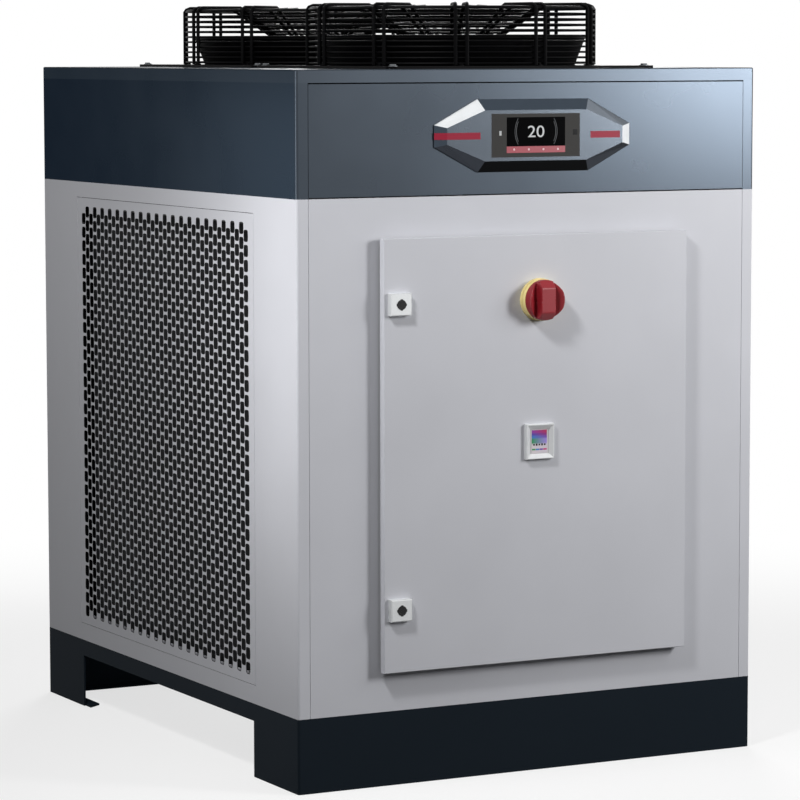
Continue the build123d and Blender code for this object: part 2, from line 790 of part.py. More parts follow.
knob_back = door_face - plate_thickness - knob_gap
with BuildPart() as handle:
    with Locations((0, knob_back - knob_base / 2, switch_height)):
        Cylinder(knob_radius, knob_base, rotation=(90, 0, 0))
    chamfer(handle.faces().sort_by(Axis.Y)[0].edges(), knob_chamfer)
    with BuildSketch(Plane.XZ.offset(-knob_back + knob_base / 2)):
        with Locations((0, switch_height)):
            Rectangle(grip_width, 2 * knob_radius - knob_chamfer)
    extrude(amount=knob_height - knob_base / 2, taper=grip_taper)
    with Locations((0, (knob_back + coupling_end) / 2, switch_height)):
        Cylinder(handle_tail_radius, coupling_end - knob_back, rotation=(90, 0, 0))
handle.part.label = "handle"
export_step(handle.part, "parts/handle.step")

# Service interface: a bevelled frame on the door round a recessed coloured field
frame_width, frame_height = interface_size
frame_foot = Plane((0, door_face, interface_height), x_dir=(1, 0, 0), z_dir=(0, -1, 0))
with BuildPart() as interface_frame:
    with BuildSketch(frame_foot):
        Rectangle(frame_width, frame_height)
    with BuildSketch(frame_foot.offset(interface_depth)):
        Rectangle(frame_width - 2 * interface_slope, frame_height - 2 * interface_slope)
    loft()
    with BuildSketch(frame_foot.offset(interface_depth)):
        Rectangle(frame_width - 2 * interface_lip, frame_height - 2 * interface_lip)
    extrude(amount=interface_floor - interface_depth, taper=interface_taper, mode=Mode.SUBTRACT)
interface_frame.part.label = "interface_frame"
export_step(interface_frame.part, "parts/interface_frame.step")

with BuildPart() as interface_insert:
    with Locations((0, door_face - interface_floor - insert_thickness / 2, interface_height)):
        Box(frame_width - 2 * interface_bevel, insert_thickness, frame_height - 2 * interface_bevel)
interface_insert.part.label = "interface_insert"
export_step(interface_insert.part, "parts/interface_insert.step")

# Water connections: two threaded sockets through the rear panel, each held by a nut
with BuildPart() as water_connections:
    for side in sides.values():
        pipe_x = side * pipe_spacing / 2
        with Locations((pipe_x, back + (pipe_reach - pipe_inside) / 2, pipe_height)):
            Cylinder(pipe_radius, pipe_reach + pipe_inside, rotation=(90, 0, 0))
        with BuildSketch(Plane.XZ.offset(-back - pipe_nut)):
            with Locations((pipe_x, pipe_height)):
                RegularPolygon(pipe_nut_radius, 6)
        extrude(amount=pipe_nut)
        with Locations((pipe_x, back, pipe_height)):
            Cylinder(pipe_bore_radius, 4 * pipe_reach, rotation=(90, 0, 0), mode=Mode.SUBTRACT)
water_connections.part.label = "water_connections"
export_step(water_connections.part, "parts/water_connections.step")

# Cable gland for the supply lead
gland_x, gland_z = gland_place
with BuildPart() as cable_gland:
    with Locations((gland_x, back, gland_z)):
        Cylinder(gland_radius, 2 * gland_reach / 3, rotation=(90, 0, 0))
    with BuildSketch(Plane.XZ.offset(-back - gland_nut)):
        with Locations((gland_x, gland_z)):
            RegularPolygon(gland_nut_radius, 6)
    extrude(amount=gland_nut)
    with BuildSketch(Plane.XZ.offset(-back - gland_reach)):
        with Locations((gland_x, gland_z)):
            Circle(gland_radius - seam_gap)
    extrude(amount=gland_reach - gland_nut)
    with Locations((gland_x, back, gland_z)):
        Cylinder(gland_bore_radius, 4 * gland_reach, rotation=(90, 0, 0), mode=Mode.SUBTRACT)
cable_gland.part.label = "cable_gland"
export_step(cable_gland.part, "parts/cable_gland.step")
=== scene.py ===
import math

import bpy
from mathutils import Matrix, Vector


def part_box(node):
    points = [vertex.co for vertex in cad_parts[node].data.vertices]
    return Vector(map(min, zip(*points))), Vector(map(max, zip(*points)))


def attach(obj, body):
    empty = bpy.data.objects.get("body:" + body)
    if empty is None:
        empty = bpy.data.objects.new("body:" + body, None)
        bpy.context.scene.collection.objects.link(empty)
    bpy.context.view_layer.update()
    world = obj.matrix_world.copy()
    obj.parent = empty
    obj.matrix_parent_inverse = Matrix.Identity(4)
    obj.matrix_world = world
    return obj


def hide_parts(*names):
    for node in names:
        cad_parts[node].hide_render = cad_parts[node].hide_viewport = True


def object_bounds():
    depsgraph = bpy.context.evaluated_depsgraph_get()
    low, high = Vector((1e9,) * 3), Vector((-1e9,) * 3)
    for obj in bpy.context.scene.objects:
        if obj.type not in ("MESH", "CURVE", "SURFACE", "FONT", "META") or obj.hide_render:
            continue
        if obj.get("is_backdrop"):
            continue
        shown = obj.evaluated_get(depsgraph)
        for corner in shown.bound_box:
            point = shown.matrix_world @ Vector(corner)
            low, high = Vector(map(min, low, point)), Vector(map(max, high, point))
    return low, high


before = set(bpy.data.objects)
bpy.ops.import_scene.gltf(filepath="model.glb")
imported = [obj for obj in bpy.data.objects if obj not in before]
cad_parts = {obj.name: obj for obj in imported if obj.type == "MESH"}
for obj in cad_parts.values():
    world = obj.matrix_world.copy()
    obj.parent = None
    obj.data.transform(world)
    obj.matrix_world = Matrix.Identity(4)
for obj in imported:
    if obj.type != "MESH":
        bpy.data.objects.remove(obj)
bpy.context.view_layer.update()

# Plinth: two folded channels with a leg at each corner and a rail along each side, 3 mm mild steel.
# The joints are welded and ground, then the whole frame is powder coated in anthracite. The coat is
# thick and satin, so it gives a soft sheen that a faint orange peel breaks up.
plinth_shade = "#1E252C"
cloud_scale = 7.0
peel_scale = 333.0
peel_height = 0.0004


def linear(shade, scale=1.0):
    """An sRGB hex colour as linear red, green, blue and alpha, darker or lighter by a scale."""
    channels = [int(shade[place : place + 2], 16) / 255 for place in (1, 3, 5)]
    light = [c / 12.92 if c < 0.04045 else ((c + 0.055) / 1.055) ** 2.4 for c in channels]
    return [min(1.0, c * scale) for c in light] + [1.0]


def add(material, kind, settings=None, links=None):
    """One shader node, with its settings and the outputs that feed its inputs."""
    node = material.node_tree.nodes.new(kind)
    for key, value in (settings or {}).items():
        if isinstance(key, int) or key in node.inputs:
            node.inputs[key].default_value = value
        else:
            setattr(node, key, value)
    for key, (source, output) in (links or {}).items():
        material.node_tree.links.new(source.outputs[output], node.inputs[key])
    return node


def bare(name):
    """A material with no nodes yet."""
    material = bpy.data.materials.new(name)
    material.use_nodes = True
    material.node_tree.nodes.clear()
    return material


def patterned(name, tones, gloss, pattern, settings, relief=None):
    """A finish whose colour and gloss run between two values as a pattern does, over relief."""
    material = bare(name)
    place = add(material, "ShaderNodeTexCoord")
    kind, look, output = pattern
    flecks = add(material, kind, look, {"Vector": (place, "Object")})
    shades = {"data_type": "RGBA", 6: tones[0], 7: tones[1]}
    tone = add(material, "ShaderNodeMix", shades, {0: (flecks, output)})
    limits = {"To Min": gloss[0], "To Max": gloss[1]}
    shine = add(material, "ShaderNodeMapRange", limits, {"Value": (flecks, output)})
    links = {"Base Color": (tone, 2), "Roughness": (shine, "Result")}
    if relief:
        grain, strength, height = relief
        bumps = add(material, "ShaderNodeTexNoise", grain, {"Vector": (place, "Object")})
        depth = {"Strength": strength, "Distance": height}
        raised = add(material, "ShaderNodeBump", depth, {"Height": (bumps, "Fac")})
        links["Normal"] = (raised, "Normal")
    surface = add(material, "ShaderNodeBsdfPrincipled", settings, links)
    add(material, "ShaderNodeOutputMaterial", links={"Surface": (surface, "BSDF")})
    return material


def powder_coat(name, shade, roughness, depth, metallic=0.0, specular=0.5, edge=1.0):
    """Polyester powder coat: an even colour with clouds 140 mm wide, over orange peel.

    Real peel is about 1 mm wide. It is drawn 3 mm wide, so that it shows.
    """
    return patterned(
        name,
        tones=(linear(shade, 0.94), linear(shade, 1.05)),
        gloss=(roughness - 0.04, roughness + 0.04),
        pattern=("ShaderNodeTexNoise", {"Scale": cloud_scale, "Detail": 3.0}, "Fac"),
        relief=({"Scale": peel_scale, "Detail": 1.0}, depth, peel_height),
        settings={
            "Metallic": metallic,
            "Specular IOR Level": specular,
            "Specular Tint": (edge, edge, edge, 1.0),
        },
    )


def coat(material, *names):
    """Gives CAD nodes that keep their shape a finish."""
    for name in names:
        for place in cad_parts[name].material_slots:
            place.material = material


plinth_coat = powder_coat("anthracite_powder_coat", plinth_shade, 0.55, 0.08, specular=0.015)
coat(plinth_coat, "plinth_front", "plinth_rear", "plinth_rail_left", "plinth_rail_right")

# Floor pan: one galvanised sheet, folded and left bare, because only the fork-lift way shows it.
# Hot-dip zinc freezes in flat crystals 10 to 20 mm across, each with its own grey and gloss.
spangle_size = 0.014
zinc_sheet = patterned(
    "galvanised_steel_sheet",
    tones=(linear("#A9ACAE"), linear("#C6C9CB")),
    gloss=(0.32, 0.5),
    pattern=("ShaderNodeTexVoronoi", {"Scale": 1 / spangle_size}, "Color"),
    settings={"Metallic": 0.9},
)
coat(zinc_sheet, "base_pan")

# Condensers: copper tubes through stacks of 0.15 mm aluminium fins, behind each intake grille.
# The fins have a black corrosion coat, dull with a thin edge of light, and stand 2.4 mm apart here,
# wider than real ones, so that they show as lines and not as a flat black.
fin_pitch = 0.0024
fin_sheet = 0.0003
fin_border = 0.0205
fin_depth = 0.0055
fin_sink = 0.0006
grain_height = 0.0005


def lacquered(name, shade, roughness, metallic=0.0, grain=40.0, depth=0.0, specular=0.5):
    """A plain lacquer, moulding or casting: an even colour that a coarse grain varies a little.

    The grain is given as the number of grains in a metre.
    """
    grains = {"Scale": grain, "Detail": 4.0}
    return patterned(
        name,
        tones=(linear(shade, 0.93), linear(shade, 1.07)),
        gloss=(max(0.05, roughness - 0.025), roughness + 0.025),
        pattern=("ShaderNodeTexNoise", grains, "Fac"),
        relief=(grains, depth, grain_height),
        settings={"Metallic": metallic, "Specular IOR Level": specular},
    )


def place_piece(name, mesh, body):
    """Puts a mesh into the scene as a piece that rides on a body."""
    piece = bpy.data.objects.new(name, mesh)
    bpy.context.scene.collection.objects.link(piece)
    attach(piece, body)
    return piece


def build(name, shapes, material, body, smooth=False):
    """One piece from a list of (points, faces) shapes, riding on a body."""
    points, faces = [], []
    for shape_points, shape_faces in shapes:
        faces += [[corner + len(points) for corner in face] for face in shape_faces]
        points += shape_points
    mesh = bpy.data.meshes.new(name)
    mesh.from_pydata([tuple(p) for p in points], [], faces)
    mesh.validate()
    mesh.materials.append(material)
    if smooth:
        mesh.shade_smooth()
        mesh.set_sharp_from_angle(angle=math.radians(35))
    return place_piece(name, mesh, body)


def block(low, high):
    """A rectangular block between two corners."""
    xs, ys, zs = zip(low, high)
    points = [(x, y, z) for x in xs for y in ys for z in zs]
    faces = [(0, 1, 3, 2), (4, 6, 7, 5), (0, 4, 5, 1), (2, 3, 7, 6), (0, 2, 6, 4), (1, 5, 7, 3)]
    return points, faces


fin_coat = lacquered("black_coated_aluminium_fins", "#17181A", 0.55, grain=120.0)
end_plate_coat = lacquered("black_coated_end_plates", "#1D1E20", 0.5)
coat(end_plate_coat, "condenser_left", "condenser_right")
for name, side in (("left", -1), ("right", 1)):
    low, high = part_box(f"condenser_{name}")
    outer = high.x if side > 0 else low.x
    near, far = sorted((outer - side * fin_depth, outer - side * fin_sink))
    fins = []
    for fin in range(int((high.y - low.y - 2 * fin_border) / fin_pitch)):
        y = low.y + fin_border + (fin + 0.5) * fin_pitch
        fins.append(
            block(
                (near, y - fin_sheet / 2, low.z + fin_border),
                (far, y + fin_sheet / 2, high.z - fin_border),
            )
        )
    build(f"condenser_fins_{name}", fins, fin_coat, "cabinet")

# Body panels: 1.5 mm steel skins, folded round the corners and bolted to the frame from inside.
# Powder coated in light grey, slightly cooler than neutral, satin, with a fine peel.
body_shade = "#C8C9CF"
body_coat = powder_coat("light_grey_powder_coat", body_shade, 0.45, 0.03, specular=0.2)
coat(body_coat, "side_panel_left", "side_panel_right", "front_panel", "rear_panel")

# Intake grilles: thin steel sheet, punched with upright slots in staggered columns, folded back
# along its edges and dropped into the window of each side panel. The walls of the slots are painted
# a dark metallic grey, as painted shade inside the slots. Black foam strips close the gap to the
# coil.
grille_columns = 41
grille_slots = 30
column_pitch = 0.01613
slot_pitch = 0.02327
slot_half_width = 0.00788
slot_half_height = 0.0095
slot_squareness = 0.45
lowest_slot = 0.169
grille_sheet = 0.001
foam_inset = 0.0015
foam_width = 0.015
foam_gap = 0.0002
# Round one half of a slot: an angle, and the point of the slot's cell that the corner there joins,
# in half columns across and quarter pitches up.
slot_steps = (
    (90, 0.0, 2), (66, 0.5, 2), (45, 1.0, 2), (20, 1.0, 1), (0, 1.0, 0),
    (-20, 1.0, -1), (-45, 1.0, -2), (-66, 0.5, -2), (-90, 0.0, -2),
)
field_low = lowest_slot - slot_pitch / 2
field_high = field_low + (grille_slots + 0.5) * slot_pitch


def slot_outline():
    """The sixteen corners of a slot and the points of its cell that they join, about its middle."""
    right = []
    for angle, across, up in slot_steps:
        sideways, upwards = math.cos(math.radians(angle)), math.sin(math.radians(angle))
        y = slot_half_width * max(sideways, 0.0) ** slot_squareness
        z = slot_half_height * math.copysign(abs(upwards) ** slot_squareness, upwards)
        right.append(((y, z), (across * column_pitch / 2, up * slot_pitch / 4)))
    left = [((-slot[0], slot[1]), (-cell[0], cell[1])) for slot, cell in reversed(right[1:-1])]
    return right + left


def punched_sheet(side, low, high):
    """A grille's coated faces and the cut walls of its slots, as two shapes that share corners."""
    points, faces, walls, index = [], [], [], {}
    face_x = high.x if side > 0 else low.x
    back_x = face_x - side * grille_sheet
    rim_x = low.x if side > 0 else high.x
    first = (low.y + high.y) / 2 - (grille_columns - 1) / 2 * column_pitch
    half = column_pitch / 2
    outline = slot_outline()

    def corner(x, y, z):
        key = (round(x, 6), round(y, 6), round(z, 6))
        if key not in index:
            index[key] = len(points)
            points.append(key)
        return index[key]

    def panel(*corners):
        faces.append([corner(*c) for c in (corners if side > 0 else reversed(corners))])

    # Each slot with the part of the sheet round it, and the blank half cell that a staggered
    # column has at one end.
    for column in range(grille_columns):
        y = first + column * column_pitch
        lift = slot_pitch / 2 if column % 2 else 0.0
        for row in range(grille_slots):
            z = lowest_slot + lift + row * slot_pitch
            for (slot, cell), (next_slot, next_cell) in zip(outline, outline[1:] + outline[:1]):
                ring = [(y + a, z + b) for a, b in (cell, slot, next_slot, next_cell)]
                panel(*[(face_x, a, b) for a, b in ring])
                panel(*[(back_x, a, b) for a, b in reversed(ring)])
                (ay, az), (by, bz) = ring[1:3]
                panel((face_x, ay, az), (back_x, ay, az), (back_x, by, bz), (face_x, by, bz))
                walls.append(faces.pop())
    for column in range(grille_columns):
        y = first + column * column_pitch
        blank = field_low if column % 2 else field_high - slot_pitch / 2
        bottom, middle, top = [blank + step * slot_pitch / 4 for step in range(3)]
        ends = [-half, -half / 2, 0.0, half / 2, half]
        loop = [(y + end, bottom) for end in ends] + [(y + half, middle)]
        loop += [(y + end, top) for end in reversed(ends)] + [(y - half, middle)]
        panel(*[(face_x, a, b) for a, b in loop])
        panel(*[(back_x, a, b) for a, b in reversed(loop)])

    # The plain border, in four pieces on each face.
    left, right = first - half, first + grille_columns * column_pitch - half
    up = [field_low + step * slot_pitch / 4 for step in range(4 * grille_slots + 3)]
    along = [left + step * half / 2 for step in range(4 * grille_columns + 1)]
    for x, inset in ((face_x, 0.0), (back_x, grille_sheet)):
        south, north = low.y + inset, high.y - inset
        bottom, top = low.z + inset, high.z - inset
        borders = (
            [(south, bottom), (left, field_low)] + [(left, z) for z in up[1:]] + [(south, top)],
            [(north, top)] + [(right, z) for z in reversed(up)] + [(north, bottom)],
            [(south, bottom), (north, bottom)] + [(y, field_low) for y in reversed(along)],
            [(north, top), (south, top)] + [(y, field_high) for y in along],
        )
        for border in borders:
            around = border if x == face_x else reversed(border)
            panel(*[(x, y, z) for y, z in around])

    # The folded edge, from the face round the rim to the back.
    loops = []
    for x, inset in ((face_x, 0.0), (rim_x, 0.0), (rim_x, grille_sheet), (back_x, grille_sheet)):
        south, north = low.y + inset, high.y - inset
        bottom, top = low.z + inset, high.z - inset
        loops.append([(x, south, bottom), (x, north, bottom), (x, north, top), (x, south, top)])
    for outer, inner in zip(loops, loops[1:]):
        for step in range(4):
            after = (step + 1) % 4
            panel(outer[step], inner[step], inner[after], outer[after])
    return points, faces, walls


black_foam = lacquered("black_foam_strip", "#0A0A0B", 0.9, grain=900.0, depth=0.2, specular=0.02)
# The slot walls are painted dark grey: painted shade inside the slots, not a colour of the sheet.
slot_shade_paint = lacquered("slot_wall_painted_shade", "#2E2F31", 0.6, metallic=0.3, grain=300.0, specular=0.1)
for name, side in (("left", -1), ("right", 1)):
    low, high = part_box(f"grille_{name}")
    points, faces, walls = punched_sheet(side, low, high)
    sheet = build(f"punched_grille_{name}", [(points, faces)], body_coat, "cabinet")
    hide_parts(f"grille_{name}")
    build(f"slot_walls_{name}", [(points, walls)], slot_shade_paint, "cabinet")
    coil_low, coil_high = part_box(f"condenser_{name}")
    face_x, coil_x = (high.x, coil_high.x) if side > 0 else (low.x, coil_low.x)
    near, far = sorted((face_x - side * (grille_sheet + foam_gap), coil_x + side * foam_gap))
    half = grille_columns * column_pitch / 2 + foam_inset
    bottom, top = field_low - foam_inset, field_high + foam_inset
    strips = [
        block((near, south, down), (far, north, up))
        for south, north, down, up in (
            (-half - foam_width, -half, bottom, top),
            (half, half + foam_width, bottom, top),
            (-half, half, bottom - foam_width, bottom),
            (-half, half, top, top + foam_width),
        )
    ]
    build(f"foam_strips_{name}", strips, black_foam, "cabinet")

# Band and lid: folded steel skins round the fan deck, with the lid a shallow tray over them.
# Coated in dark slate with fine metal flake under the clear coat, so it is nearly black where it
# faces the dark of the room and silver blue where it turns towards a light.
band_shade = "#3B4148"
lid_shade = "#3D434A"
band_coat = powder_coat("slate_flake_powder_coat", band_shade, 0.28, 0.02, metallic=1.0, edge=0.3)
lid_coat = powder_coat("slate_flake_lid_coat", lid_shade, 0.3, 0.02, metallic=1.0, edge=0.33)
coat(band_coat, "band_left", "band_right", "band_front", "band_rear")
coat(lid_coat, "lid")

# Fan nozzles: deep-drawn galvanised rings, black powder coated, with a square flange that four
# hexagon screws hold to the lid. The inside shows the draw as a smooth black sweep.
screw_inset = 0.014
screw_head = 0.0055
screw_height = 0.0032
screw_washer = 1.35


def turned(profile, sides, origin, axis=(0, 0, 1)):
    """A profile of (radius, height) turned about an axis through origin, and closed at its ends."""
    along = Vector(axis).normalized()
    across = along.orthogonal().normalized()
    third = along.cross(across)
    points, faces = [], []
    for radius, height in profile:
        for step in range(sides):
            angle = 2 * math.pi * step / sides
            out = across * math.cos(angle) + third * math.sin(angle)
            points.append(Vector(origin) + out * radius + along * height)
    for base in range(0, (len(profile) - 1) * sides, sides):
        for step in range(sides):
            after = (step + 1) % sides
            faces.append((base + step, base + after, base + sides + after, base + sides + step))
    faces.append(tuple(reversed(range(sides))))
    faces.append(tuple(range((len(profile) - 1) * sides, len(profile) * sides)))
    return points, faces


def hexagon_screw(origin, radius, height):
    """A hexagon head with a bevelled top on a thin washer."""
    flare, foot = radius * screw_washer, height * 0.2
    head = [(radius, foot), (radius, height * 0.85), (radius * 0.86, height)]
    return [turned([(flare, 0.0), (flare, foot)], 20, origin), turned(head, 6, origin)]


black_coat = powder_coat("black_powder_coat", "#040405", 0.5, 0.05, specular=0.05)
zinc_plate = lacquered("zinc_plated_screws", "#6E7174", 0.35, metallic=1.0, grain=400.0)
coat(black_coat, "nozzle_front", "nozzle_rear")
for fan in ("front", "rear"):
    low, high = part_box(f"nozzle_{fan}")
    middle = (low + high) / 2
    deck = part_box(f"guard_{fan}")[0].z
    reach = (high.x - low.x) / 2 - screw_inset
    screws = []
    for east, north in ((-1, -1), (1, -1), (1, 1), (-1, 1)):
        foot = (middle.x + east * reach, middle.y + north * reach, deck)
        screws += hexagon_screw(foot, screw_head, screw_height)
    build(f"nozzle_screws_{fan}", screws, zinc_plate, "cabinet")

# Fan motors and impellers: an external rotor motor hangs under the guard, and the blades are
# screwed to its rotor. The motor is bare die-cast aluminium, and the impeller is glass-filled black
# nylon, dull and slightly rough.
cast_aluminium = lacquered("cast_aluminium", "#A9ABAC", 0.42, metallic=0.9, grain=260.0, depth=0.15)
nylon = lacquered("glass_filled_nylon", "#08090A", 0.5, grain=500.0, depth=0.1, specular=0.15)
coat(cast_aluminium, "motor_front", "motor_rear")
coat(nylon, "impeller_front", "impeller_rear")

# Fan guards: rings of 3.4 mm wire welded inside pairs of stouter upright ribs, with a dish in the
# middle that carries the motor. The whole basket is black coated after welding, which rounds the
# welds. Each pair of ribs ends at a clip on the nozzle, whose rim inside is rolled into a bead.
ring_wire = 0.0017
rib_wire = 0.0031
ring_seat = ring_wire * 0.6
rib_spread = 0.009
side_rings = 11
top_rings = 9
dish_rings = 12
ring_sides = 88
guard_ribs = 11
guard_turn = math.radians(-114.95)
guard_bend = 0.009
lowest_ring = 0.004
rib_foot = 0.001
dish_rim = 0.150
dish_bend = 0.004
dish_rise = 0.003
dish_floor_radius = 0.058
dish_floor_bend = 0.006
rib_end = 0.016
clip_inset = 0.006
clip_profile = [(0.006, 0.0), (0.006, 0.002), (0.003, 0.002), (0.003, 0.004)]
plate_profile = [
    (dish_floor_radius, 0.0), (dish_floor_radius, 0.002), (0.03, 0.002), (0.03, 0.001),
]
bead_radius = 0.2122
bead_wire = 0.0035


def wire(path, radius, sides=6, closed=False):
    """A round wire along a path of points."""
    points, faces = [], []
    count = len(path)
    stops = [Vector(p) for p in path]
    guide = None
    for step, stop in enumerate(stops):
        before = stops[step - 1] if step or closed else stop
        after = stops[(step + 1) % count] if closed or step < count - 1 else stop
        along = (after - before).normalized()
        if guide is None:
            guide = along.orthogonal().normalized()
        guide = (guide - along * guide.dot(along)).normalized()
        third = along.cross(guide)
        for turn in range(sides):
            angle = 2 * math.pi * turn / sides
            points.append(stop + (guide * math.cos(angle) + third * math.sin(angle)) * radius)
    for step in range(count if closed else count - 1):
        here, there = step * sides, (step + 1) % count * sides
        for turn in range(sides):
            beside = (turn + 1) % sides
            faces.append((here + turn, here + beside, there + beside, there + turn))
    if not closed:
        faces.append(tuple(reversed(range(sides))))
        faces.append(tuple(range((count - 1) * sides, count * sides)))
    return points, faces


def ring(radius, height, centre):
    """The points of a level ring about a fan's axis."""
    angles = [2 * math.pi * step / ring_sides for step in range(ring_sides)]
    return [
        (centre.x + radius * math.cos(angle), centre.y + radius * math.sin(angle), height)
        for angle in angles
    ]


def guard_rings(outer, deck, crown, dish_floor):
    """The radius and height of every ring, up the side, over the top and down into the dish."""
    rings = []
    for rank in range(side_rings):
        climb = crown - guard_bend - deck - lowest_ring
        height = deck + lowest_ring + rank * climb / (side_rings - 1)
        rings.append((outer - 2 * rib_wire - ring_seat, height))
    for rank in range(top_rings):
        share = rank / (top_rings - 1)
        radius = outer - guard_bend + share * (dish_rim - outer + guard_bend)
        rings.append((radius, crown - 2 * rib_wire - ring_seat))
    for rank in range(dish_rings):
        share = (rank + 1) / (dish_rings + 1)
        radius = dish_rim + share * (dish_floor_radius - dish_rim)
        fall = share * (dish_floor + dish_rise - crown)
        rings.append((radius, crown - rib_wire + fall + ring_wire))
    return rings


def rib_profile(outer, deck, crown, dish_floor):
    """The line of a rib as (radius, height), from its foot to its end on the dish's floor."""
    line, top = outer - rib_wire, crown - rib_wire
    floor_run = dish_floor + dish_rise - rib_wire * 0.2
    return [
        (line, deck + rib_foot),
        (line, crown - guard_bend),
        (line - guard_bend * 0.3, top - guard_bend * 0.3),
        (line - guard_bend, top),
        (dish_rim + dish_bend, top),
        (dish_rim - dish_bend, top - dish_bend),
        (dish_floor_radius + dish_floor_bend, dish_floor + dish_floor_bend),
        (dish_floor_radius, floor_run),
        (dish_floor_radius - rib_end, floor_run),
    ]


guard_coat = lacquered("black_coated_wire", "#040405", 0.5, grain=300.0, specular=0.04)
for fan in ("front", "rear"):
    low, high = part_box(f"guard_{fan}")
    nozzle_low, nozzle_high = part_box(f"nozzle_{fan}")
    centre = (nozzle_low + nozzle_high) / 2
    outer, deck, crown = high.x, low.z, high.z
    dish_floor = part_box(f"motor_{fan}")[1].z
    wires = []
    for radius, height in guard_rings(outer, deck, crown, dish_floor):
        wires.append(wire(ring(radius, height, centre), ring_wire, closed=True))
    for rib in range(guard_ribs):
        angle = guard_turn + 2 * math.pi * rib / guard_ribs
        out = Vector((math.cos(angle), math.sin(angle), 0.0))
        beside = Vector((-math.sin(angle), math.cos(angle), 0.0))
        for spread in (-rib_spread, rib_spread):
            path = []
            for radius, height in rib_profile(outer, deck, crown, dish_floor):
                reach = math.sqrt(max(radius**2 - spread**2, 0.0))
                narrow = spread * min(1.0, radius / dish_rim)
                path.append(Vector((centre.x, centre.y, height)) + out * reach + beside * narrow)
            wires.append(wire(path, rib_wire, 8))
        foot = Vector((centre.x, centre.y, deck)) + out * (outer - clip_inset)
        wires.append(turned(clip_profile, 12, foot))
    wires.append(turned(plate_profile, 44, (centre.x, centre.y, dish_floor)))
    bead_height = nozzle_high.z + bead_wire * 0.8
    bead = wire(ring(bead_radius, bead_height, centre), bead_wire, 10, closed=True)
    build(f"nozzle_bead_{fan}", [bead], black_coat, "cabinet", smooth=True)
    basket = build(f"wire_guard_{fan}", wires, guard_coat, "cabinet", smooth=True)
    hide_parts(f"guard_{fan}")

# Control housing: a die-cast frame round the display, bevelled on all eight sides, with a bar that
# runs out to each side. Its face is a silver grey lacquer. The bevels are painted in steps from
# light to dark as painted highlight, reflection and shade: a painted silver highlight on the upper
# left bevel and the right end, painted slate reflections on the top, the upper right bevel and the
# left end, and painted shade from graphite to black on the lower bevels.
housing_half_width = 0.174
housing_half_flat = 0.0985
housing_half_height = 0.056
housing_half_tip = 0.017
housing_rise = 0.0108
bevel_width = 0.017
tip_bevel = 1.05
bezel_half_width = 0.0785
bezel_half_height = 0.0335
bezel_sink = 0.004
# The bevel's section: how far in from the outline, and how far out from the band.
bevel_section = (
    (0.0, 0.0),
    (0.0, 0.0018),
    (0.0008, 0.0026),
    (bevel_width - 0.001, housing_rise - 0.0004),
    (bevel_width, housing_rise),
)
# Each bevel colour, painted to stand in for the highlight, reflection or shade that the bevel
# catches, and the sides that it covers, counted clockwise from the upper left bevel.
bevel_painted_light = (
    (lacquered("bevel_painted_silver_highlight", "#E4E7E9", 0.3, metallic=0.6, grain=60.0), (0, 3)),
    (lacquered("bevel_painted_pale_reflection", "#6A7179", 0.28, metallic=0.85, grain=60.0), (2,)),
    (lacquered("bevel_painted_slate_reflection", "#3A434D", 0.24, metallic=0.85, grain=60.0), (1, 7)),
    (lacquered("bevel_painted_graphite_shade", "#33373E", 0.28, metallic=0.85, grain=60.0), (4, 6)),
    (lacquered("bevel_painted_black_shade", "#08090B", 0.24, grain=60.0, specular=0.04), (5,)),
)
low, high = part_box("control_housing")
housing_middle = (low + high) / 2
band_front = high.y
housing_front = band_front - housing_rise


def lofted(outlines, caps=False):
    """Faces between closed outlines that have the same number of corners."""
    count = len(outlines[0])
    points = [corner for outline in outlines for corner in outline]
    faces = []
    for base in range(0, (len(outlines) - 1) * count, count):
        for step in range(count):
            after = (step + 1) % count
            faces.append((base + step, base + after, base + count + after, base + count + step))
    if caps:
        faces.append(tuple(reversed(range(count))))
        faces.append(tuple(range((len(outlines) - 1) * count, len(outlines) * count)))
    return points, faces


def mirrored(corners, y):
    """Corners above the housing's middle and their mirror image below it, all at one depth."""
    below = [(x, -z) for x, z in reversed(corners)]
    return [(housing_middle.x + x, y, housing_middle.z + z) for x, z in corners + below]


def housing_outline(inset, rise):
    """The eight-sided outline, drawn in from the outside by a width measured square to its top."""
    width = housing_half_width - inset * tip_bevel
    flat = housing_half_flat - inset * 0.5
    height = housing_half_height - inset
    tip = housing_half_tip - inset * 0.25
    corners = [(-width, tip), (-flat, height), (flat, height), (width, tip)]
    return mirrored(corners, band_front - rise)


housing_paint = lacquered("silver_grey_lacquer", "#454B52", 0.27, metallic=0.9, grain=20.0)
bevel_points, bevel_faces = lofted([housing_outline(*step) for step in bevel_section])
# Each bevel gets its painted highlight, reflection or shade as its own piece.
for paint, sides in bevel_painted_light:
    chosen = [face for place, face in enumerate(bevel_faces) if place % 8 in sides]
    shape = (bevel_points, chosen)
    surround = build(f"housing_{paint.name}", [shape], paint, "cabinet")
    if 0 in sides:
        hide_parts("control_housing")
opening_tip = housing_half_tip - bevel_width * 0.25
opening = [
    (-bezel_half_width, opening_tip), (-bezel_half_width, bezel_half_height),
    (bezel_half_width, bezel_half_height), (bezel_half_width, opening_tip),
]
housing_face = lofted(
    [
        housing_outline(bevel_width, housing_rise),
        mirrored(opening, housing_front),
        mirrored(opening, housing_front + bezel_sink),
    ]
)
build("housing_face", [housing_face], housing_paint, "cabinet")

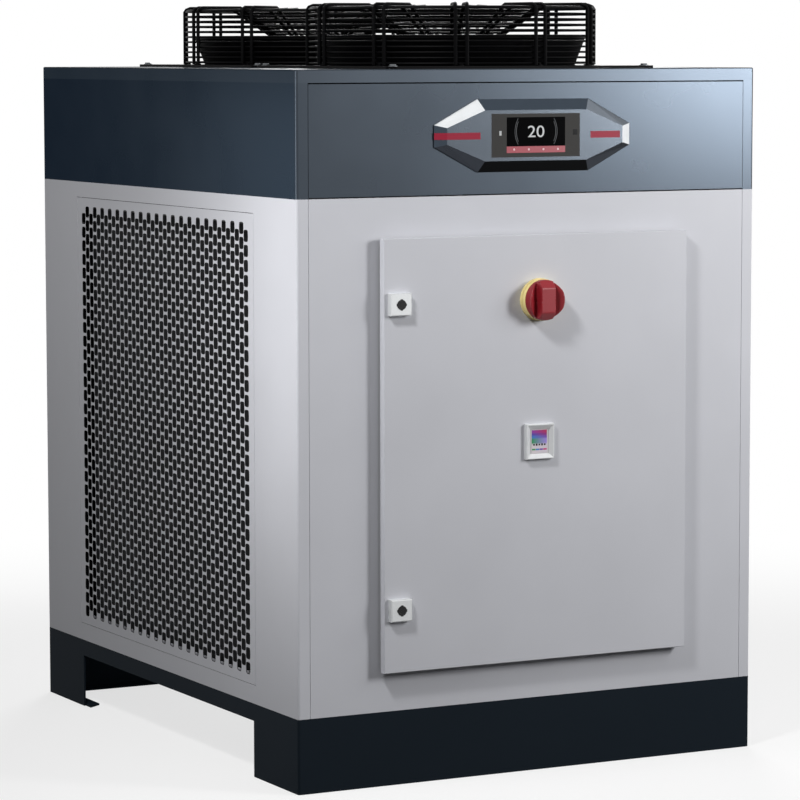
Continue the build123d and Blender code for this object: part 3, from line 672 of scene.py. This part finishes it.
# Accent stripes: strips of red acrylic let into the two bars of the housing. The left one is turned
# round the end of its bar, and the right one stops short of it. Clear gloss over an even red.
stripe_half_height = 0.0052
stripe_inner = 0.098
stripe_short = 0.0225
stripe_sheet = 0.0006
stripe_foot = 0.0030
stripe_lift = 0.0002
stripe_turn = 0.0004
stripe_edge = 0.0003
stripe_front = housing_front - stripe_lift
bar_end = housing_half_width - bevel_width * tip_bevel
red_acrylic = lacquered("red_acrylic", "#93263A", 0.25, grain=30.0, specular=0.12)
stripes = []
for run in (
    (
        (-stripe_inner, stripe_front),
        (-bar_end - stripe_turn, stripe_front - stripe_lift),
        (-housing_half_width - stripe_edge, band_front - stripe_foot),
    ),
    ((stripe_inner, stripe_front), (housing_half_width - stripe_short, stripe_front)),
):
    rows = []
    for x, y in run:
        below, above = (housing_middle.z + side * stripe_half_height for side in (-1, 1))
        corners = ((y, below), (y, above), (y + stripe_sheet, above), (y + stripe_sheet, below))
        rows.append([(housing_middle.x + x, depth, z) for depth, z in corners])
    stripes.append(lofted(rows, caps=True))
stripe = build("housing_stripes", stripes, red_acrylic, "cabinet")
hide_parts("accent_stripes")

# Display: a dark ABS bezel with a glass screen let into it. The screen is on: a plain figure
# between two thin double arcs, and a red bar along its foot with four pale keys, all of it light
# from the panel. The bezel has a small pale print on its left and a sensor window on its right.
print_lift = 0.0002
pixel_scale = 900.0
figure_size = 0.0255
figure_stretch = 1.22
figure_lift = 0.0018
figure_sheet = 0.0001
arc_lift = 0.003
arc_wire = 0.00035
arc_steps = 18
arc_lines = ((0.0375, 32), (0.0350, 26))
bar_below = 0.0048
bar_above = 0.0052
bar_lift = 0.0003
key_places = (-0.039, -0.013, 0.013, 0.039)
key_radius = 0.0017
key_height = 0.0004
lamp_mark_corners = ((-0.0650, -0.0028), (-0.0612, 0.0042))
sensor_corners = ((0.0660, -0.0030), (0.0740, 0.0055))
screen_low, screen_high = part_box("display_screen")
screen_front = screen_low.y
screen_centre = (screen_low + screen_high) / 2
bezel_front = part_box("display_bezel")[0].y
bezel_abs = lacquered("dark_grey_abs", "#333231", 0.5, grain=500.0, depth=0.05, specular=0.1)
screen_glass = lacquered("screen_glass", "#020203", 0.12, grain=20.0, specular=0.03)
pale_ink = lacquered("pale_printed_ink", "#B9BBBC", 0.5, grain=300.0, specular=0.2)
smoked_acrylic = lacquered("smoked_acrylic_window", "#141415", 0.2, grain=300.0, specular=0.1)
coat(bezel_abs, "display_bezel")
coat(screen_glass, "display_screen")
for name, (lower, upper), material in (
    ("bezel_lamp_mark", lamp_mark_corners, pale_ink),
    ("bezel_sensor_window", sensor_corners, smoked_acrylic),
):
    mark = block(
        (screen_centre.x + lower[0], bezel_front - print_lift, screen_centre.z + lower[1]),
        (screen_centre.x + upper[0], bezel_front + print_lift, screen_centre.z + upper[1]),
    )
    build(name, [mark], material, "cabinet")


def lit(name, shade, strength):
    """A part of the screen that gives its own light, a little uneven as pixels are.

    Real pixels are about 0.2 mm wide. The unevenness is drawn 1 mm wide, so that it shows.
    """
    material = bare(name)
    place = add(material, "ShaderNodeTexCoord")
    grain = {"Scale": pixel_scale, "Detail": 0.0}
    pixels = add(material, "ShaderNodeTexNoise", grain, {"Vector": (place, "Object")})
    shades = {"data_type": "RGBA", 6: linear(shade, 0.9), 7: linear(shade)}
    glow = add(material, "ShaderNodeMix", shades, {0: (pixels, "Fac")})
    glass = {"Base Color": (0.01, 0.01, 0.01, 1.0), "Roughness": 0.2, "Emission Strength": strength}
    surface = add(material, "ShaderNodeBsdfPrincipled", glass, {"Emission Color": (glow, 2)})
    add(material, "ShaderNodeOutputMaterial", links={"Surface": (surface, "BSDF")})
    return material


white_pixels = lit("lit_pixels_white", "#DADCDE", 0.7)
grey_pixels = lit("lit_pixels_grey", "#6A6C70", 0.7)
red_pixels = lit("lit_pixels_red", "#B0404F", 0.75)
pink_pixels = lit("lit_pixels_pink", "#E9B9C0", 0.8)
figures = bpy.data.curves.new("screen_figures", "FONT")
figures.body = "20"
figures.size = figure_size
figures.align_x = "CENTER"
figures.align_y = "CENTER"
figures.extrude = figure_sheet
holder = bpy.data.objects.new("screen_figures_outline", figures)
bpy.context.scene.collection.objects.link(holder)
bpy.context.view_layer.update()
depsgraph = bpy.context.evaluated_depsgraph_get()
figure_mesh = bpy.data.meshes.new_from_object(holder.evaluated_get(depsgraph))
bpy.data.objects.remove(holder)
figure_mesh.materials.clear()
figure_mesh.materials.append(white_pixels)
figure_place = (screen_centre.x, screen_front - print_lift, screen_centre.z + figure_lift)
upright = Matrix.Rotation(math.radians(90), 4, "X")
wider = Matrix.Diagonal((figure_stretch, 1.0, 1.0, 1.0))
figure_mesh.transform(Matrix.Translation(figure_place) @ upright @ wider)
place_piece("screen_figures", figure_mesh, "cabinet")

arcs = []
for side in (-1, 1):
    for radius, span in arc_lines:
        path = []
        for step in range(arc_steps + 1):
            angle = math.radians(-span + 2 * span * step / arc_steps)
            x = screen_centre.x + side * radius * math.cos(angle)
            z = screen_centre.z + arc_lift + radius * math.sin(angle)
            path.append((x, screen_front - print_lift, z))
        arcs.append(wire(path, arc_wire, 4))
build("screen_arcs", arcs, grey_pixels, "cabinet")
bar = block(
    (screen_low.x, screen_front - bar_lift, screen_low.z - bar_below),
    (screen_high.x, screen_front + print_lift, screen_low.z + bar_above),
)
build("screen_bar", [bar], red_pixels, "cabinet")
key_profile = [(key_radius, 0.0), (key_radius, print_lift)]
keys = []
for place in key_places:
    foot = (screen_centre.x + place, screen_front - bar_lift, screen_low.z + key_height)
    keys.append(turned(key_profile, 12, foot, (0, -1, 0)))
build("screen_keys", keys, pink_pixels, "cabinet")

# Electrical enclosure: a welded steel box behind the door, coated as the panels are, with a bare
# galvanised mounting plate that carries the main switch. The switch is moulded in grey nylon.
dark_nylon = lacquered("dark_grey_nylon", "#2B2C2E", 0.5, grain=400.0, depth=0.1)
coat(body_coat, "enclosure")
coat(zinc_sheet, "mounting_plate", "hinge_brackets", "hinge_ears")
coat(dark_nylon, "main_switch")

# Door: a pan of 1.5 mm steel, coated as the body, hung on two lift-off hinges on its right.
# A grey foamed seal lies in a closed line round the inside, stopped short of the hinge arms.
seal_width = 0.0045
seal_depth = 0.006
seal_inset = 0.0032
hinge_clear = 0.012
door_skin = 0.0016
door_coat = powder_coat("door_powder_coat", body_shade, 0.45, 0.03, specular=0.2)
seal_rubber = lacquered("grey_foamed_seal", "#4A4B4D", 0.85, grain=700.0, depth=0.3, specular=0.2)
coat(door_coat, "door")
door_low, door_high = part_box("door")
inner_face = door_low.y + door_skin
west, east = door_low.x + seal_inset, door_high.x - seal_inset - hinge_clear
south, north = door_low.z + seal_inset, door_high.z - seal_inset
seal_bars = [
    block((left, inner_face, bottom), (right, inner_face + seal_depth, top))
    for left, right, bottom, top in (
        (west, east, south, south + seal_width),
        (west, east, north - seal_width, north),
        (west, west + seal_width, south + seal_width, north - seal_width),
        (east - seal_width, east, south + seal_width, north - seal_width),
    )
]
build("door_seal", seal_bars, seal_rubber, "door")

# Door locks: nickel-plated zinc blocks, each with a double-bit insert that a cabinet key turns.
# The plating is satin, the insert is blackened steel, and the cam behind the door is zinc plated.
insert_radius = 0.0078
insert_depth = 0.0004
insert_well = 0.0052
insert_well_floor = 0.0046
notch_reach = 0.0086
notch_half = 0.0019
pin_radius = 0.0022
pin_height = 0.0007
satin_nickel = lacquered(
    "satin_nickel_plate", "#D0D2D3", 0.42, metallic=0.3, grain=300.0, specular=0.3
)
black_steel = lacquered("blackened_steel", "#242425", 0.4, metallic=0.5, grain=300.0, specular=0.2)
coat(satin_nickel, "lock_housings")
coat(zinc_plate, "lock_cam_upper", "lock_cam_lower")
insert_profile = [
    (insert_radius, 0.0), (insert_radius, insert_depth),
    (insert_well, insert_depth), (insert_well_floor, 0.0001),
]
for name in ("lower", "upper"):
    low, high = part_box(f"lock_cam_{name}")
    nose = (low.x + high.x) / 2, low.y, low.z + (high.x - low.x) / 2
    insert = [turned(insert_profile, 28, nose, (0, -1, 0))]
    for wide, tall in ((notch_reach, notch_half), (notch_half, notch_reach)):
        insert.append(
            block(
                (nose[0] - wide, nose[1] - insert_depth * 0.9, nose[2] - tall),
                (nose[0] + wide, nose[1], nose[2] + tall),
            )
        )
    pin = turned([(pin_radius, 0.0), (pin_radius, pin_height)], 16, nose, (0, -1, 0))
    build(f"lock_insert_{name}", insert, black_steel, f"lock_{name}")
    build(f"lock_key_pin_{name}", [pin], black_steel, f"lock_{name}")

# Main switch handle: a yellow ABS collar on the door, a yellow skirt that turns with the knob, and
# a round red ABS knob with a broad grip bar between two finger hollows. All are injection moulded,
# so every edge is rounded and takes a soft line of light.
knob_radius = 0.0315
knob_face = 0.0235
grip_face = 0.0262
grip_half = 0.0125
grip_end_fall = 0.0105
grip_wall = 0.0012
hollow_depth = 0.0105
hollow_edge = 0.0045
hollow_curve = 1.6
rim_round = 0.0025
rim_start = 0.9
end_start = 0.6
end_curve = 1.15
side_drop = 0.0045
knob_draft = 0.98
knob_rings = 22
knob_turns = 96
skirt_radius = 0.0325
skirt_bore = 0.0305
skirt_height = 0.0072
shaft_radius = 0.008
yellow_abs = lacquered("yellow_abs", "#F0DC96", 0.35, grain=80.0, specular=0.3)
red_abs = lacquered("red_abs", "#8E2029", 0.36, grain=80.0, specular=0.35)
coat(yellow_abs, "handle_plate")
low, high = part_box("handle")
knob_x, knob_z = (low.x + high.x) / 2, (low.z + high.z) / 2
knob_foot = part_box("handle_plate")[0].y - 0.0004


def knob_front(x, z):
    """How far the knob's front stands from its foot, at a place on its face."""
    reach = math.hypot(x, z) / knob_radius
    rim = knob_face - rim_round * max(0.0, (reach - rim_start) / (1 - rim_start)) ** 2
    to_end = max(0.0, (abs(z) / knob_radius - end_start) / (1 - end_start))
    bar = grip_face - grip_end_fall * min(1.0, to_end) ** end_curve
    past_bar = (abs(x) - grip_half) / grip_wall
    if past_bar <= 0:
        return bar
    hollow_floor = knob_face - hollow_depth
    hollow_width = knob_radius - grip_half - hollow_edge
    outward = min(1.0, max(0.0, (abs(x) - grip_half - grip_wall) / hollow_width))
    hollow = hollow_floor + (rim - hollow_floor) * outward**hollow_curve
    return bar + (min(hollow, rim, bar) - bar) * min(1.0, past_bar)


def knob_circle(radius):
    """The places round a circle on the knob's face."""
    angles = [2 * math.pi * step / knob_turns for step in range(knob_turns)]
    return [(radius * math.cos(angle), radius * math.sin(angle)) for angle in angles]


# The knob as rings of points: out over the face from the middle, then down the side to the skirt.
knob_levels = []
for rank in range(knob_rings + 1):
    share = rank / knob_rings * (knob_draft if rank == knob_rings else 1.0)
    knob_levels.append([(x, z, knob_front(x, z)) for x, z in knob_circle(knob_radius * share)])
for height in (knob_face - side_drop, skirt_height):
    knob_levels.append(
        [
            (x, z, min(height, knob_front(x * knob_draft, z * knob_draft) - 0.002))
            for x, z in knob_circle(knob_radius)
        ]
    )
points = [(knob_x + x, knob_foot - y, knob_z + z) for level in knob_levels for x, z, y in level]
faces = []
for base in range(0, len(points) - knob_turns, knob_turns):
    for step in range(knob_turns):
        after = (step + 1) % knob_turns
        beyond = base + knob_turns
        faces.append((base + after, base + step, beyond + step, beyond + after))
faces.append(tuple(range(len(points) - knob_turns, len(points))))
shaft_profile = [(shaft_radius, 0.0), (shaft_radius, high.y - knob_foot)]
shaft = turned(shaft_profile, 40, (knob_x, knob_foot, knob_z), (0, 1, 0))
knob = build("switch_knob", [(points, faces), shaft], red_abs, "handle", smooth=True)
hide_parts("handle")
skirt_profile = [
    (skirt_bore, 0.0), (skirt_radius, 0.0), (skirt_radius, skirt_height - 0.001),
    (skirt_radius - 0.0007, skirt_height), (skirt_bore, skirt_height),
]
skirt = turned(skirt_profile, 72, (knob_x, knob_foot, knob_z), (0, -1, 0))
build("switch_skirt", [skirt], yellow_abs, "handle", smooth=True)

# Service interface: a snap-in frame of silver-lacquered ABS whose bevels fall inwards to a printed
# film. The lacquer is smooth, so each bevel is as bright as the part of the room that it faces.
frame_half_width = 0.0245
frame_half_height = 0.0272
frame_lip = 0.001
frame_round = 0.0006
frame_chamfer = 0.0008
film_seat = 0.002
frame_slope_width = 0.0078
frame_fall = 0.0045
silver_abs = lacquered(
    "silver_lacquered_abs", "#DDDFE0", 0.3, metallic=0.1, grain=100.0, specular=0.3
)
low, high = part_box("interface_frame")
frame_middle = (low + high) / 2
frame_rise = high.y - low.y


def frame_outline(inset, forward):
    """A rectangle inside the frame's outline, at a distance in front of the door."""
    half_x, half_z = frame_half_width - inset, frame_half_height - inset
    return [
        (frame_middle.x + east * half_x, high.y - forward, frame_middle.z + north * half_z)
        for east, north in ((-1, -1), (1, -1), (1, 1), (-1, 1))
    ]


surround = lofted(
    [
        frame_outline(-frame_round, 0.0),
        frame_outline(0.0, frame_rise - frame_chamfer),
        frame_outline(frame_round, frame_rise),
        frame_outline(frame_lip + frame_round, frame_rise),
        frame_outline(frame_slope_width, frame_rise - frame_fall),
        frame_outline(frame_slope_width, film_seat),
    ],
    caps=True,
)
bezel = build("interface_bezel", [surround], silver_abs, "door")
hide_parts("interface_frame")

# Printed film in the frame: an abstract colour field over two rows of small marks, on a pale
# ground. It is printed on the back of satin polyester, so the colours sit under an even gloss.
film_width = 0.0268
film_height = 0.0356
film_sheet = 0.0002
film_lift = 0.0004
# The colour field from its foot: the shade on the left, on the right, and the share of the height
# at which it begins.
film_ground = ("#D9CFD3", "#CFC7D2")
film_bands = (
    ("#2F8F55", "#9C86D6", 0.40),
    ("#3E78C0", "#7A4CA8", 0.64),
    ("#5148A8", "#8E2C72", 0.76),
    ("#8E3F9E", "#B02E55", 0.87),
)
band_blur = 0.04
mark_pitch = 0.0048
mark_half_width = 0.0014
mark_height = 0.0026
mark_step = 0.0008
mark_drop = 0.0050
key_shades = ("#3F9A5C", "#4A84C4", "#7A4FA8", "#C0407A")
key_half_width = 0.0030
key_foot = 0.0136
key_top = 0.0112


def printed_film(name):
    """Colours that run from magenta at the top through blue to green, over the pale ground."""
    material = bare(name)
    place = add(material, "ShaderNodeTexCoord")
    axes = add(material, "ShaderNodeSeparateXYZ", links={"Vector": (place, "Object")})
    bottom, top = frame_middle.z - film_height / 2, frame_middle.z + film_height / 2
    limits = {"From Min": bottom, "From Max": top}
    upward = add(material, "ShaderNodeMapRange", limits, {"Value": (axes, "Z")})
    limits = {"From Min": -film_width / 2, "From Max": film_width / 2}
    sideways = add(material, "ShaderNodeMapRange", limits, {"Value": (axes, "X")})
    across = {0: (sideways, "Result")}
    shades = {"data_type": "RGBA", 6: linear(film_ground[0]), 7: linear(film_ground[1])}
    colour = add(material, "ShaderNodeMix", shades, across)
    for left, right, edge in film_bands:
        shades = {"data_type": "RGBA", 6: linear(left), 7: linear(right)}
        band = add(material, "ShaderNodeMix", shades, across)
        limits = {"From Min": edge - band_blur, "From Max": edge + band_blur}
        step = add(material, "ShaderNodeMapRange", limits, {"Value": (upward, "Result")})
        links = {0: (step, "Result"), 6: (colour, 2), 7: (band, 2)}
        colour = add(material, "ShaderNodeMix", {"data_type": "RGBA"}, links)
    satin = {"Roughness": 0.35, "Specular IOR Level": 0.25}
    surface = add(material, "ShaderNodeBsdfPrincipled", satin, {"Base Color": (colour, 2)})
    add(material, "ShaderNodeOutputMaterial", links={"Surface": (surface, "BSDF")})
    return material


def film_tile(left, right, bottom, top, back, front):
    """A flat tile on the film, placed from the middle of the frame."""
    x, z = frame_middle.x, frame_middle.z
    return block((x + left, front, z + bottom), (x + right, back, z + top))


film_ground_coat = lacquered("pale_film_ground", "#CDC9CC", 0.4, grain=100.0, specular=0.25)
coat(film_ground_coat, "interface_insert")
film_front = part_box("interface_insert")[0].y - film_lift
half_width, half_height = film_width / 2, film_height / 2
film = film_tile(
    -half_width, half_width, -half_height, half_height, film_front + film_sheet, film_front
)
build("interface_film", [film], printed_film("printed_film"), "door")
ink_front = film_front - film_sheet
marks = []
for column in range(5):
    x = (column - 2) * mark_pitch
    half = (mark_height + mark_step * (column % 2)) / 2
    corners = (x - mark_half_width, x + mark_half_width, -mark_drop - half, -mark_drop + half)
    marks.append(film_tile(*corners, film_front, ink_front))
build("film_marks", marks, black_steel, "door")
for column, shade in enumerate(key_shades):
    x = (column + 0.5) * film_width / 4 - half_width
    corners = (x - key_half_width, x + key_half_width, -key_foot, -key_top)
    tile = film_tile(*corners, film_front, ink_front)
    ink = lacquered(f"printed_key_ink_{column}", shade, 0.4, grain=300.0, specular=0.25)
    build(f"film_key_{column}", [tile], ink, "door")

# Services on the rear panel: turned brass sockets for the water and a grey nylon cable gland.
# The brass is bright from the lathe, and the gland is a dull moulding.
brass = lacquered("turned_brass", "#B08D50", 0.3, metallic=1.0, grain=200.0)
grey_nylon = lacquered("grey_nylon", "#55585B", 0.5, grain=400.0, depth=0.1)
coat(brass, "water_connections")
coat(grey_nylon, "cable_gland")

# Studio: a pale floor that fades into the white room, and six soft lamps. The floor and the room
# look white to the camera and to reflections, and throw little light on the machine.
floor_reach = 7.0
floor_drop = 0.0005
floor_lift = 0.7
shadow_reach = (1.0, 2.4)
room_light = 0.08
# Each lamp: its place, the point that it faces, its width and height, and its power. The key lamp
# is high on the left. The band and the housing reflect the tall box on the right, with a fill
# beside it. A strip lights the left side's front edge, and the band mirrors a weak lamp there.
lamps = (
    ("key_lamp", (-1.4, -1.4, 2.15), (-0.1, -0.5, 0.7), (0.3, 0.3), 28.0),
    ("right_soft_box", (1.72, -2.5, 1.45), (0.2, -0.5, 0.95), (0.5, 1.0), 46.0),
    ("right_fill", (1.15, -1.25, 1.15), (0.2, -0.5, 0.8), (0.5, 0.5), 4.0),
    ("left_strip_lamp", (-0.8, -0.49, 0.78), (-0.4, -0.49, 0.78), (0.15, 0.7), 1.75),
    ("band_lamp", (-1.0, 0.62, 0.92), (-0.4, -0.5, 1.02), (0.22, 0.3), 0.5),
    ("back_lamp", (1.7, 2.9, 2.3), (0.2, 0.3, 0.6), (1.2, 1.2), 70.0),
)


def seen_directly(material):
    """1 for camera, glossy and transmission rays, and 0 for light that a dull surface passes on."""
    path = add(material, "ShaderNodeLightPath")
    highest = {"operation": "MAXIMUM"}
    rays = {0: (path, "Is Camera Ray"), 1: (path, "Is Glossy Ray")}
    seen = add(material, "ShaderNodeMath", highest, rays)
    rays = {0: (seen, "Value"), 1: (path, "Is Transmission Ray")}
    return add(material, "ShaderNodeMath", highest, rays)


floor_mesh = bpy.data.meshes.new("studio_floor")
floor_corners = [
    (east * floor_reach, north * floor_reach, 0)
    for east, north in ((-1, -1), (1, -1), (1, 1), (-1, 1))
]
floor_mesh.from_pydata(floor_corners, [], [(0, 1, 2, 3)])
floor = bpy.data.objects.new("studio_floor", floor_mesh)
floor.location.z = -floor_drop
bpy.context.scene.collection.objects.link(floor)
floor_paint = bare("studio_floor_paint")
place = add(floor_paint, "ShaderNodeTexCoord")
length = {"operation": "LENGTH"}
away = add(floor_paint, "ShaderNodeVectorMath", length, {0: (place, "Object")})
fade = add(
    floor_paint,
    "ShaderNodeMapRange",
    {"interpolation_type": "SMOOTHSTEP", "From Min": shadow_reach[0], "From Max": shadow_reach[1]},
    {"Value": (away, "Value")},
)
seen = seen_directly(floor_paint)
shades = {"data_type": "RGBA", 6: linear("#3C3C3C"), 7: linear("#F0F0F0")}
tone = add(floor_paint, "ShaderNodeMix", shades, {0: (seen, "Value")})
dull = add(floor_paint, "ShaderNodeBsdfDiffuse", links={"Color": (tone, 2)})
white = {"Color": (1.0, 1.0, 1.0, 1.0)}
glow = add(floor_paint, "ShaderNodeEmission", white, {"Strength": (seen, "Value")})
limits = {"To Min": floor_lift, "To Max": 1.0}
lift = add(floor_paint, "ShaderNodeMapRange", limits, {"Value": (fade, "Result")})
layers = {0: (lift, "Result"), 1: (dull, "BSDF"), 2: (glow, "Emission")}
surface = add(floor_paint, "ShaderNodeMixShader", links=layers)
add(floor_paint, "ShaderNodeOutputMaterial", links={"Surface": (surface, "Shader")})
floor_mesh.materials.append(floor_paint)
floor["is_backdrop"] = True

for name, place, target, size, energy in lamps:
    light = bpy.data.lights.new(name, "AREA")
    light.shape = "RECTANGLE"
    light.size, light.size_y = size
    light.energy = energy
    lamp = bpy.data.objects.new(name, light)
    lamp.location = place
    lamp.rotation_euler = (Vector(target) - Vector(place)).to_track_quat("-Z", "Y").to_euler()
    lamp.visible_camera = False
    bpy.context.scene.collection.objects.link(lamp)

world = bpy.data.worlds.new("studio_room")
world.use_nodes = True
world.node_tree.nodes.clear()
limits = {"To Min": room_light, "To Max": 1.0}
seen = seen_directly(world)
strength = add(world, "ShaderNodeMapRange", limits, {"Value": (seen, "Value")})
room = add(world, "ShaderNodeBackground", white, {"Strength": (strength, "Result")})
add(world, "ShaderNodeOutputWorld", links={"Surface": (room, "Background")})
bpy.context.scene.world = world
bpy.context.scene.view_settings.view_transform = "Standard"

# Camera: a long lens a little above the lid, to the left of the front, tilted down.
# Its place and angles are fitted to the straight edges of the cabinet.
camera_place = (-2.7545, -5.2948, 1.1323)
camera_pan = math.radians(27.745)
camera_tilt = math.radians(5.648)
camera_roll = math.radians(-0.088)
lens = bpy.data.cameras.new("studio_camera")
lens.sensor_width = 36.0
lens.lens = 160.3
ahead = Vector((math.sin(camera_pan), math.cos(camera_pan), 0.0))
across = Vector((math.cos(camera_pan), -math.sin(camera_pan), 0.0))
view = ahead * math.cos(camera_tilt) - Vector((0, 0, math.sin(camera_tilt)))
up = Vector((0, 0, math.cos(camera_tilt))) + ahead * math.sin(camera_tilt)
right = across * math.cos(camera_roll) + up * math.sin(camera_roll)
up = up * math.cos(camera_roll) - across * math.sin(camera_roll)
facing = Matrix((right, up, -view)).transposed().to_4x4()
camera = bpy.data.objects.new("studio_camera", lens)
camera.matrix_world = Matrix.Translation(camera_place) @ facing
bpy.context.scene.collection.objects.link(camera)
bpy.context.scene.camera = camera

low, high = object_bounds()
